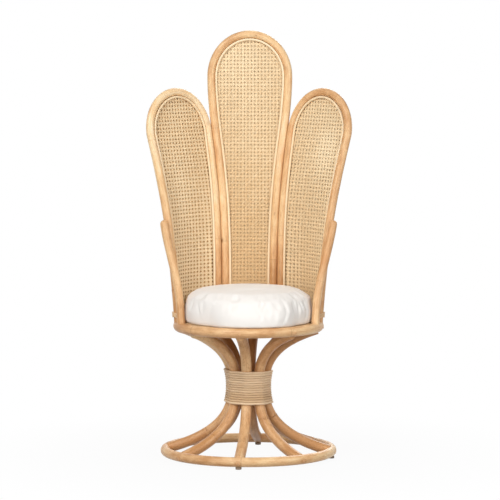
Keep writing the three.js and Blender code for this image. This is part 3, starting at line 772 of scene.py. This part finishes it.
def arm_points(petal):
    foot = ring_point(SEAT_RADIUS, ARM_FOOT, 0) - ring_point(SEAT_RADIUS, SIDE_OUTER_FOOT, 0)
    tip = np.array([ARM_PITCH * sin(ARM_SPLAY), -ARM_PITCH * cos(ARM_SPLAY), 0])
    t = np.linspace(0, 1, num=120)
    z = blend(SEAT_Z, ARM_HEIGHT - ARM_POLE / 2, t)
    outwards = blend(foot[0], tip[0], smooth_step(t, ARM_SPLAY_START, 1))
    ahead = blend(foot[1], tip[1], 1 - (1 - t) ** ARM_SWEEP)
    return petal.leg_point(z) + np.stack([petal.mirror * outwards, ahead, 0 * t], axis=1)


def make_arms():
    for petal in PETALS[1:]:
        name = f"{petal.name}_arm"
        made = pole(f"{name}_pole", arm_points(petal), ARM_POLE, ARM_TONES[petal.name], round_end=True)
        add_piece(made, RATTAN, name)


# Cane webbing


class Strips:
    """Collects flat strips of cane, each a flat bar along a line on a petal, into one mesh."""

    def __init__(self, petal, side):
        self.petal = petal
        self.side = side
        self.tone, self.fade, self.inner = CANE_LOOKS[petal.name]
        self.vertices, self.quads, self.fibres, self.tones = [], [], [], []
        self.count = 0

    def place(self, across, z, wave):
        return self.petal.point(across, z, self.side * (CANE_LAYER + wave))

    def add(self, across, z, wave, width, tone):
        """A strip over places on the petal; wave is how far it stands out of the layer's middle."""
        middle = self.place(across, z, wave)
        along = lengths_along(middle)
        run_across = np.gradient(across)
        run_up = np.gradient(z)
        size = np.hypot(run_across, run_up)
        step_across = -run_up / size * width / 2
        step_up = run_across / size * width / 2
        corners = []
        for sign, depth in STRIP_CORNERS:
            stand = wave + depth * CANE_THICK
            corners.append(self.place(across + sign * step_across, z + sign * step_up, stand))
        rows = len(across)
        self.vertices.append(np.stack(corners, axis=1).reshape(-1, 3))
        self.quads.append(tube_faces(rows, 4, False) + self.count)
        ends = np.array([[3, 2, 1, 0], [0, 1, 2, 3]]) + [[self.count], [self.count + (rows - 1) * 4]]
        self.quads.append(ends)
        edges = np.tile(STRIP_EDGES, rows)
        own = np.full(rows * 4, tone * STRIP_FIBRES_APART)
        self.fibres.append(np.stack([np.repeat(along, 4), edges, own], axis=1))
        height = np.repeat(z, 4)
        # Painted shade and light by height: the centre petal darker towards the seat, the left one darker
        # towards the top
        climb = leg_share(height, self.petal.arch_height)
        fade = self.fade * (CANE_SHADE_MIDDLE - climb)
        sideways = np.repeat(across, 4)
        strength, by_width, by_height, by_side = CANE_CLOUDS
        clouds = strength * np.sin(by_width * sideways + by_height * height + by_side * self.side)
        # Painted sheen on the side petals, added to the clouds
        if self.petal.is_side:
            x, z_middle, half_width, half_height, strength = CANE_PAINTED_SHEEN[self.petal.name]
            pale = spot(sideways - x, half_width, height - z_middle, half_height)
            clouds = clouds + strength * pale
        self.tones.append(tone + self.tone - fade + clouds)
        self.count += rows * 4

    def finish(self, name):
        made = make_object(name, np.concatenate(self.vertices), np.concatenate(self.quads))
        set_values(made, "fibre", np.concatenate(self.fibres), "FLOAT_VECTOR", "vector")
        set_values(made, "tone", np.concatenate(self.tones))
        # Painted shade on the strips' sides that face the other layer, seen through the holes
        set_values(made, "inner", np.tile(STRIP_SHADED_SIDE, self.count // 4) * self.inner)
        return made


def weave(petal, side, shift):
    """One layer of six-way webbing: pairs of upright and level strips and single strips both ways aslant,
    which pass the pairs halfway between their crossings and so leave eight-sided holes."""
    strips = Strips(petal, side)
    source = draws(f"{petal.name} {side} weave")
    fullness = 1.0 if side > 0 else CANE_BACK_WIDTH
    upright_apart = fullness * petal.cane_upright
    level_apart = fullness * CANE_LEVEL
    widest = petal.half_width(np.array(petal.arch_height)) + CANE_MARGIN
    top = petal.arch_height + petal.arch_rise
    pitch = petal.cane_across
    wave_across = 2 * pi / pitch
    wave_up = 2 * pi / CANE_UP
    first_across, first_up = shift
    first_up += SEAT_HEIGHT

    def lay(across, z, wave, width):
        across = across * petal.spread(z)
        inside = np.flatnonzero(petal.holds(across, z, CANE_EDGE))
        if len(inside) > 2:
            kept = slice(max(inside[0] - 1, 0), inside[-1] + 2)
            width = fullness * (width + 0 * z)
            strips.add(across[kept], z[kept], wave[kept], width[kept], source.uniform(*STRIP_TONES))

    # Points lie a quarter of the way before and after each crossing
    columns = np.arange(-int(widest / pitch) - 1, int(widest / pitch) + 2)
    rows = np.arange(0, int((top - SEAT_HEIGHT) / CANE_UP) + 2)
    up = first_up + CANE_UP * (np.arange(-1, len(rows), 0.5) + 0.25)
    level = first_across + pitch * (np.arange(columns[0], columns[-1], 0.5) + 0.25)
    for column in columns:
        for sign in (-1, 1):
            across = np.full(len(up), first_across + column * pitch + sign * upright_apart / 2)
            wave = sign * CANE_WAVE * np.sin(wave_up * (up - first_up))
            lay(across, up, wave, petal.cane_upright * petal.spread(up))
    for row in rows:
        for sign in (-1, 1):
            z = np.full(len(level), first_up + row * CANE_UP + sign * level_apart / 2)
            lay(level, z, sign * CANE_WAVE * np.sin(wave_across * (level - first_across)), CANE_LEVEL)
    steps = np.arange(0, len(columns) - 1, 0.5)
    for lean in (-1, 1):
        for start in np.arange(-len(columns), len(rows)):
            across = first_across + pitch * (columns[0] + steps)
            rise = steps if lean > 0 else len(columns) - 1 - steps
            z = first_up + CANE_UP * (start + 0.5 + rise)
            wave = lean * CANE_DIAGONAL_WAVE * np.cos(wave_across * (across - first_across))
            lay(across, z, wave, CANE_DIAGONAL)
    return strips


def make_webbing():
    for petal in PETALS:
        for side, sign in SIDES:
            strips = weave(petal, sign, CANE_SHIFTS[side])
            made = strips.finish(f"{petal.name}_petal_{side}_webbing")
            add_piece(made, CANE, f"{petal.name}_petal_cane")


# Windings

STRAND_SWELL = 0.0002
BINDING_STEPS = 8
BINDING_TONES = (0.1, 0.9)
FOOT_STEPS = 32
FOOT_TONE = 0.6
FOOT_DRIFT = (0.15, 30)


def leg_line(z, outwards):
    """Radius of a leg's centre line at a height, moved outwards square to the leg."""
    radius, height = LEG_PROFILE.T
    slope = np.gradient(radius, height)
    return np.interp(z, height, radius) + outwards * np.hypot(1, np.interp(z, height, slope))


def make_waist_binding():
    """One strand wound round the legs, which lies on the outer side of each leg in turn."""
    steps_per_turn = LEG_COUNT * BINDING_STEPS
    steps = BINDING_TURNS * steps_per_turn
    bottom = WAIST_HEIGHT - BINDING_TURNS * BINDING_PITCH / 2
    points = []
    for step in range(steps):
        z = bottom + BINDING_PITCH * step / steps_per_turn
        angle = leg_angle(step // BINDING_STEPS)
        swing = ((step % BINDING_STEPS) / (BINDING_STEPS - 1) - 0.5) * 2 * pi / LEG_COUNT
        radius = leg_line(z, 0)
        lift = leg_line(z, LEG_POLE / 2 + BINDING_STRAND / 2) - radius
        points.append(ring_point(radius, angle, z) + ring_point(lift, angle + swing, 0))
    points = np.array(points) + AXIS
    made = tube("waist_binding_core", points, BINDING_STRAND / 2 + STRAND_SWELL, CORE_SIDES)[0]
    turn = np.repeat(np.arange(steps) / steps_per_turn, CORE_SIDES)
    tones = draws("waist").uniform(*BINDING_TONES, BINDING_TURNS + 2)
    set_values(made, "tone", np.interp(turn, np.arange(BINDING_TURNS + 2), tones))
    add_piece(made, BINDING, "waist_binding")


def make_foot_bindings():
    radius = PETAL_POLE / 2 + FOOT_STRAND / 2 + FOOT_CLEAR / 2
    bottom = SEAT_HEIGHT + radius * tan(FOOT_TILT) + FOOT_STRAND / 2
    turns = np.arange(0, FOOT_TURNS * FOOT_STEPS + 1) / FOOT_STEPS
    angles = 2 * pi * turns
    for petal in PETALS[1:]:
        outwards = radius * np.cos(angles)
        z = bottom + FOOT_PITCH * turns + outwards * tan(FOOT_TILT)
        swing = np.stack([petal.mirror * outwards, radius * np.sin(angles), 0 * z], axis=1)
        points = petal.leg_point(z) + swing
        name = f"{petal.name}_foot_binding"
        made, along, _ = tube(f"{name}_core", points, FOOT_STRAND / 2 + STRAND_SWELL, sides=10)
        set_values(made, "tone", FOOT_TONE + ripple(FOOT_DRIFT, along, 0))
        add_piece(made, LASHING, name)


# Pegs, glides and hidden pieces

PEG_CHAMFER = 0.0008
PEG_DOME = 0.0005
# A glide's radius and height from its underside up to its stem in the base ring
GLIDE_OUTLINE = (
    (GLIDE_RADIUS * 0.4, 0),
    (GLIDE_RADIUS - 0.0012, 0),
    (GLIDE_RADIUS - 0.0003, 0.0004),
    (GLIDE_RADIUS, 0.0013),
    (GLIDE_RADIUS, GLIDE_HEIGHT - 0.0012),
    (GLIDE_RADIUS - 0.0008, GLIDE_HEIGHT - 0.0003),
    (GLIDE_RADIUS * 0.5, GLIDE_HEIGHT),
    (0.003, GLIDE_HEIGHT + 0.008),
)


def make_peg(name, mouth, direction, length):
    radius = PEG / 2
    outline = [(radius - PEG_CHAMFER, 0), (radius, PEG_CHAMFER), (radius, length - PEG_CHAMFER)]
    outline += [(radius - PEG_CHAMFER / 2, length), (radius / 2, length + PEG_DOME)]
    tail = mouth - length * direction
    made = lathe(f"{name}_dowel", outline, tail + AXIS, sides=24, axis=direction)
    add_piece(made, PEG_WOOD, name)


def make_leg_pegs():
    climb = SEAT_LEG_DROP * sin(SEAT_FLARE)
    way_out = climb + sqrt(climb**2 + (SEAT_POLE / 2) ** 2 - SEAT_LEG_DROP**2)
    ends = {
        "base": (BASE_RADIUS, BASE_Z, cos(BASE_FLARE), -sin(BASE_FLARE), BASE_POLE / 2),
        "seat": (SEAT_RADIUS, SEAT_Z - SEAT_LEG_DROP, cos(SEAT_FLARE), sin(SEAT_FLARE), way_out),
    }
    for index in range(LEG_COUNT):
        angle = leg_angle(index)
        for end, (radius, z, out, up, way) in ends.items():
            mouth = ring_point(radius + out * way, angle, z + up * way)
            length = way + LEG_END_SHORT + PEG_DEPTH
            make_peg(f"{end}_peg_{index + 1}", mouth, ring_point(out, angle, up), length)


def make_glides():
    for index in range(GLIDE_COUNT):
        angle = leg_angle(index * LEG_COUNT // GLIDE_COUNT)
        place = ring_point(BASE_RADIUS, angle, 0) + AXIS
        made = lathe(f"glide_{index + 1}_pad", GLIDE_OUTLINE, place, sides=40)
        add_piece(made, PLASTIC, f"glide_{index + 1}")


def finish_cad_nodes():
    """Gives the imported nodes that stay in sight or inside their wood."""
    finishes = {"seat_board": (PLYWOOD, "seat_plywood"), "waist_core": (PEG_WOOD, "peg_wood")}
    for name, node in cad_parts.items():
        if name.endswith("_foot_peg"):
            finishes[name] = (PEG_WOOD, "peg_wood")
        if name in finishes:
            material, slot = finishes[name]
            node.data.materials.clear()
            node.data.materials.append(material)


# Cushion

TINY = 1e-6
CENTRE_HOLE = 0.002
CROWN_START = 0.45 * pi
HELD_HEIGHT = 0.004
CUSHION_VOXEL = 0.005
CLOTH_PRESSURE = 4.0
CLOTH_FRAMES = 20
CLOTH_CAP = 0.012
CLOTH_SLACK = 0.002
CUSHION_RIM = 0.089
CUSHION_LIFT = 0.007
LOWER_EDGE = 0.006
UPPER_EDGE = 0.009
OUTER_PERCENT = 99.5
EASE_ROUNDS = 5
# The bulge over the seat ring: how far out, where round the cushion, and how it ends by height
FRONT_BULGE = 0.029
BULGE_TURN = 0.12
BULGE_COSINES = (0.7, 0.98)
BULGE_START = 0.5
BULGE_TOP_LOSS = 0.6
BULGE_HEIGHTS = (0.02, 0.1)
RING_GAP = 0.0008
RING_REACH = 0.95
LAY_HEIGHTS = (0.01, 0.06)
# Waves in the side: depth, number round the cushion, radians to the metre up it and start
SIDE_WAVES = ((0.0005, 11, 18, 1.0), (0.00035, 23, -30, 0.0))
SIDE_SHARES = (0.86, 0.97)
SIDE_HEIGHTS = (0.004, 0.02)
# Tucks in the side: number, angles from the front, and limits of slant, level, length, width and depth
TUCKS = 16
FRONT_TUCKS = (0.1, 1.25)
OTHER_TUCKS = (1.4, 5.9)
TUCK_LIMITS = ((-0.7, 0.5), (0.03, 0.085), (0.012, 0.03), (0.0035, 0.0065), (0.0014, 0.0032))
TUCK_RIDGE = 0.7
TUCK_RIDGE_WIDTH = 1.4
# Folds in the top, each a ridge with a hollow beside it; limits of heading, offset and middle
FOLDS = 5
FOLD_HEIGHTS = (0.085, 0.098)
FOLD_LIMITS = ((-0.9, 0.5), (-0.14, 0.14), (-0.08, 0.12))
FOLD_RISE = 0.0022
FOLD_LENGTH = 0.07
FOLD_WIDTH = 0.007
HOLLOW_SHARE = 0.8
HOLLOW_WIDTH = 0.011

cushion_low, cushion_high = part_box("seat_cushion")
CUSHION_RADIUS = (cushion_high.x - cushion_low.x) / 2
CUSHION_HEIGHT = cushion_high.z - cushion_low.z
CUSHION_PLACE = np.array([cushion_low.x + CUSHION_RADIUS, cushion_low.y + CUSHION_RADIUS, cushion_low.z])


def cushion_start():
    """A slack cover, a little smaller than the finished cushion, with rounded edges."""
    radius = CUSHION_RADIUS - CLOTH_SLACK
    top = CUSHION_HEIGHT - 3 * CLOTH_SLACK
    outline = [(CENTRE_HOLE, 0.0)]
    edges = ((LOWER_EDGE, LOWER_EDGE, -pi / 2, 0), (UPPER_EDGE, CUSHION_RIM - UPPER_EDGE, 0, CROWN_START))
    for edge, middle, start, end in edges:
        for turn in np.linspace(start, end, num=7):
            outline.append((radius - edge + edge * cos(turn), middle + edge * sin(turn)))
    reach, rim = outline[-1]
    for share in np.linspace(0, 1, num=10)[1:]:
        height = rim + (top - rim) * (1 - (1 - share) ** 2)
        outline.append((max(reach * (1 - share), CENTRE_HOLE), height))
    return lathe("cushion_cover", outline, CUSHION_PLACE, sides=96)


def apply_modifier(made, modifier):
    bpy.context.view_layer.objects.active = made
    bpy.ops.object.modifier_apply(modifier=modifier.name)


def coordinates(mesh):
    values = np.empty(len(mesh.vertices) * 3, np.float32)
    mesh.vertices.foreach_get("co", values)
    return values.reshape(-1, 3).astype(float)


def set_coordinates(mesh, points):
    mesh.vertices.foreach_set("co", points.astype(np.float32).ravel())
    mesh.update()


def inflate(made):
    """Blows the cover up with Cloth and takes the result, with no point moved further than the cap."""
    rest = coordinates(made.data)
    floor = rest[:, 2].min()
    group = made.vertex_groups.new(name="held")
    group.add(np.flatnonzero(rest[:, 2] < floor + HELD_HEIGHT).tolist(), 1.0, "REPLACE")
    cloth = made.modifiers.new("Cloth", "CLOTH")
    settings = cloth.settings
    settings.quality = 5
    settings.mass = 0.3
    settings.tension_stiffness = 20
    settings.compression_stiffness = 20
    settings.bending_stiffness = 0.6
    settings.use_pressure = True
    settings.uniform_pressure_force = CLOTH_PRESSURE
    settings.vertex_group_mass = "held"
    settings.effector_weights.gravity = 0
    cloth.collision_settings.use_collision = False
    for number in range(1, CLOTH_FRAMES + 1):
        scene.frame_set(number)
    evaluated = made.evaluated_get(bpy.context.evaluated_depsgraph_get())
    blown = coordinates(evaluated.data)
    scene.frame_set(1)
    made.modifiers.remove(cloth)
    move = blown - rest
    size = np.maximum(np.linalg.norm(move, axis=1), TINY)
    move *= np.minimum(1, CLOTH_CAP / size)[:, None]
    set_coordinates(made.data, rest + move)


def creases(x, y, height):
    """Moves for the tucks in the cover's side, most of them at the front right, and the folds in its top."""
    source = draws("creases")
    reach = np.hypot(x, y)
    angle = np.arctan2(x, -y)
    on_side = smooth_step(reach / CUSHION_RADIUS, *SIDE_SHARES)
    off_bottom = smooth_step(height, *SIDE_HEIGHTS)
    side = np.zeros(len(x))
    for depth, number, rise, start in SIDE_WAVES:
        side += depth * np.sin(number * angle + rise * height + start)
    for count in range(TUCKS):
        middle = source.uniform(*(FRONT_TUCKS if count % 4 else OTHER_TUCKS))
        turn = (angle - middle + pi) % (2 * pi) - pi
        slant, level, length, width, depth = (source.uniform(*limits) for limits in TUCK_LIMITS)
        across = turn * CUSHION_RADIUS - slant * (height - level)
        ridge = TUCK_RIDGE * hump(across - 2 * width, TUCK_RIDGE_WIDTH * width)
        side += depth * hump(height - level, length) * (ridge - hump(across, width))
    top = np.zeros(len(x))
    on_top = smooth_step(height, *FOLD_HEIGHTS)
    for _ in range(FOLDS):
        heading, offset, middle = (source.uniform(*limits) for limits in FOLD_LIMITS)
        across = x * sin(heading) + y * cos(heading) - offset
        along = x * cos(heading) - y * sin(heading) - middle
        hollow = HOLLOW_SHARE * hump(across - 2 * FOLD_WIDTH, HOLLOW_WIDTH)
        top += FOLD_RISE * (hump(across, FOLD_WIDTH) - hollow) * hump(along, FOLD_LENGTH)
    return side * on_side * off_bottom, top * on_top


def settle(made):
    """Brings the blown cover to the cushion's size and lays its front over the seat ring."""
    x, y, height = (coordinates(made.data) - CUSHION_PLACE).T
    reach = np.hypot(x, y)
    height = height / height.max() * (CUSHION_HEIGHT + CUSHION_LIFT)
    angle = np.arctan2(x, -y)
    frontal = smooth_step(np.cos(angle - BULGE_TURN), *BULGE_COSINES)
    bulge = FRONT_BULGE * frontal * smooth_step(reach / CUSHION_RADIUS, BULGE_START, 1)
    bulge *= 1 - BULGE_TOP_LOSS * smooth_step(height, *BULGE_HEIGHTS)
    blown_radius = np.percentile(reach, OUTER_PERCENT)
    grown = CUSHION_RADIUS / blown_radius + bulge / np.maximum(reach, TINY)
    past_ring = np.clip(reach * grown - SEAT_RADIUS, -SEAT_POLE / 2, RING_REACH * SEAT_POLE / 2)
    ring_top = SEAT_Z + np.sqrt((SEAT_POLE / 2) ** 2 - past_ring**2) + RING_GAP - CUSHION_PLACE[2]
    lay = np.where(past_ring < 0, np.maximum(ring_top, 0), ring_top)
    lay *= 1 - smooth_step(height, *LAY_HEIGHTS)
    side_move, top_move = creases(x * grown, y * grown, height)
    grown += side_move / np.maximum(reach, TINY)
    height = height + top_move + lay
    set_coordinates(made.data, np.stack([x * grown, y * grown, height], axis=1) + CUSHION_PLACE)


def make_cushion():
    made = cushion_start()
    remesh = made.modifiers.new("Remesh", "REMESH")
    remesh.mode = "VOXEL"
    remesh.voxel_size = CUSHION_VOXEL
    apply_modifier(made, remesh)
    inflate(made)
    ease = made.modifiers.new("Ease", "SMOOTH")
    ease.factor = 0.5
    ease.iterations = EASE_ROUNDS
    apply_modifier(made, ease)
    settle(made)
    smooth = made.modifiers.new("Smooth", "SUBSURF")
    smooth.levels = 1
    apply_modifier(made, smooth)
    made.data.shade_smooth()
    add_piece(made, COTTON, "seat_cushion", body="cushion")


# Stage, light and camera

CAMERA_DISTANCE = 11.0
CAMERA_HEIGHT = 1.68
CAMERA_ASIDE = 0.144
AIM_HEIGHT = 0.699
AIM_ASIDE = 0.005
LENS = 237.36
WHITE = (1, 1, 1, 1)
FLOOR_GREY = (0.52, 0.52, 0.52, 1)
# The floor's shadow fades out between these distances in metres
SHADOW_LIMITS = {"From_Min": 0.35, "From_Max": 1.1}
AMBIENT = (1, 0.99, 0.98, 1)
# Round area lamps: place, target, width and power in watts
LAMPS = {
    "key": ((-2.2, -3.4, 4.6), (0, 0, 0.8), 2.6, 166),
    "fill": ((3.4, -3.4, 2.6), (0, 0, 0.8), 2.8, 104),
    "front": ((-2.2, -4.8, 1.2), (0, 0, 0.5), 2.2, 61),
    "rear": ((0.8, 4.6, 3.2), (0, 0, 0.8), 2.8, 84),
}


def seen_directly(tree):
    """One for the camera's own rays and for what gloss and glass show of the surroundings."""
    path = add_node(tree, "ShaderNodeLightPath").outputs
    shown = arithmetic(tree, "MAXIMUM", path["Is Camera Ray"], path["Is Glossy Ray"])
    return arithmetic(tree, "MAXIMUM", shown, path["Is Transmission Ray"])


def make_floor():
    bpy.ops.mesh.primitive_plane_add(size=80, location=(0, 20, 0))
    floor = bpy.context.active_object
    floor.name = "floor"
    made, tree, shader = new_material("floor_white")
    tree.nodes.remove(shader)
    matt = add_node(tree, "ShaderNodeBsdfDiffuse", None, Color=FLOOR_GREY).outputs[0]
    bright = add_node(tree, "ShaderNodeEmission", None, Color=WHITE, Strength=1.0).outputs[0]
    place = add_node(tree, "ShaderNodeNewGeometry").outputs["Position"]
    away = add_node(tree, "ShaderNodeVectorMath", {"operation": "LENGTH"}, _0=place).outputs["Value"]
    open_floor = spread_to(tree, away, low=0.95, high=1.0, **SHADOW_LIMITS)
    share = arithmetic(tree, "MULTIPLY", seen_directly(tree), open_floor)
    both = add_node(tree, "ShaderNodeMixShader", None, _0=share, _1=matt, _2=bright).outputs[0]
    tree.links.new(both, tree.nodes["Material Output"].inputs["Surface"])
    floor.data.materials.append(made)


def make_world():
    world = bpy.data.worlds.new("studio")
    scene.world = world
    world.use_nodes = True
    tree = world.node_tree
    tree.nodes.clear()
    shown = add_node(tree, "ShaderNodeBackground", None, Color=WHITE, Strength=1.0).outputs[0]
    ambient = add_node(tree, "ShaderNodeBackground", None, Color=AMBIENT, Strength=0.23).outputs[0]
    share = seen_directly(tree)
    both = add_node(tree, "ShaderNodeMixShader", None, _0=share, _1=ambient, _2=shown).outputs[0]
    add_node(tree, "ShaderNodeOutputWorld", None, Surface=both)


def put_in_scene(name, data, place, target):
    """A lamp or camera at a place, turned towards a target."""
    made = bpy.data.objects.new(name, data)
    made.location = place
    made.rotation_euler = (Vector(target) - Vector(place)).to_track_quat("-Z", "Y").to_euler()
    scene.collection.objects.link(made)
    return made


def make_lights():
    for name, (place, target, size, power) in LAMPS.items():
        light = bpy.data.lights.new(name, "AREA")
        light.shape = "DISK"
        light.size = size
        light.energy = power
        put_in_scene(name, light, place, target)


def make_camera():
    data = bpy.data.cameras.new("camera")
    data.lens = LENS
    place = (CAMERA_ASIDE, AXIS[1] - CAMERA_DISTANCE, CAMERA_HEIGHT)
    scene.camera = put_in_scene("camera", data, place, (AIM_ASIDE, AXIS[1], AIM_HEIGHT))


make_camera()
make_legs()
make_rings()
make_petal_frames()
make_arms()
make_webbing()
make_waist_binding()
make_foot_bindings()
make_leg_pegs()
make_glides()
finish_cad_nodes()
make_cushion()
make_floor()
make_world()
make_lights()
scene.view_settings.view_transform = "Standard"
